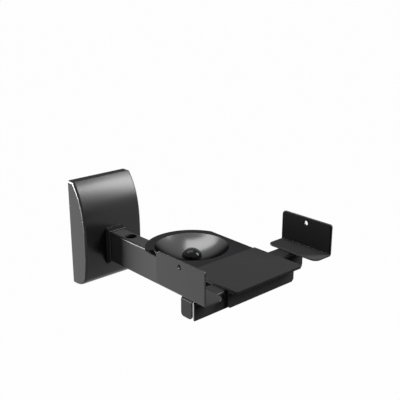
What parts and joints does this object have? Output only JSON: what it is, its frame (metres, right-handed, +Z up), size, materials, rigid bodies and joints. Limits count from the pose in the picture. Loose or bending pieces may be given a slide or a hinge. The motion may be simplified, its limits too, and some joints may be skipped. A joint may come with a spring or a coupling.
{
  "type": "speaker wall bracket",
  "caption": "Wall bracket for a loudspeaker: channel arm from a moulded cover, a tray that tilts and turns on a bowl pivot, and padded clamp plates that slide in from both sides.",
  "frame": {"origin": "middle of the wall plate's back face, on the wall", "axes": "+Z up, +Y into the wall, the bracket stands out toward -Y, +X to the right seen from the front"},
  "size_m": [0.214, 0.3505, 0.16],
  "materials": {
    "black_paint": "satin black powder coat",
    "cover_plastic": "satin moulded dark grey",
    "cap_plastic": "glossy black",
    "black_foam": "matt black foam rubber",
    "tray_rubber": "matt dark grey rubber",
    "zinc": "zinc plated"
  },
  "bodies": {
    "wall": {"wall_plate": "black_paint", "wall_cover": "cover_plastic", "arm": "black_paint", "arm_saddle": "black_paint"},
    "pivot": {"pivot_bolt": "zinc", "tilt_plate": "zinc", "bowl_washer": "zinc", "spring_washer": "zinc", "pivot_nut": "zinc", "dome_cap": "cap_plastic"},
    "tray": {"tray": "black_paint", "tray_pad": "tray_rubber", "front_rail": "black_paint", "left_inner_stud": "zinc", "left_inner_washer": "zinc", "left_inner_nut": "zinc", "left_outer_stud": "zinc", "left_outer_washer": "zinc", "left_outer_nut": "zinc", "right_inner_stud": "zinc", "right_inner_washer": "zinc", "right_inner_nut": "zinc", "right_outer_stud": "zinc", "right_outer_washer": "zinc", "right_outer_nut": "zinc"},
    "left_clamp_slide": {"left_slider": "black_paint", "left_clamp": "black_paint", "left_clamp_pad": "black_foam", "left_rear_rivet": "black_paint", "left_front_rivet": "black_paint"},
    "right_clamp_slide": {"right_slider": "black_paint", "right_clamp": "black_paint", "right_clamp_pad": "black_foam", "right_rear_rivet": "black_paint", "right_front_rivet": "black_paint"}
  },
  "joints": [
    {"name": "tilt", "type": "hinge", "parent": "wall", "child": "pivot", "pos_m": [0, -0.2127, 0.0759], "axis": [1, 0, 0], "range_deg": [-15, 15]},
    {"name": "swivel", "type": "hinge", "parent": "pivot", "child": "tray", "pos_m": [0, -0.2127, 0.0283], "axis": [0, 0, 1], "range_deg": [-90, 90]},
    {"name": "left_slide", "type": "slide", "parent": "tray", "child": "left_clamp_slide", "axis": [-1, 0, 0], "range_m": [-0.0172, 0.042]},
    {"name": "right_slide", "type": "slide", "parent": "tray", "child": "right_clamp_slide", "axis": [1, 0, 0], "range_m": [-0.0232, 0.042]}
  ]
}
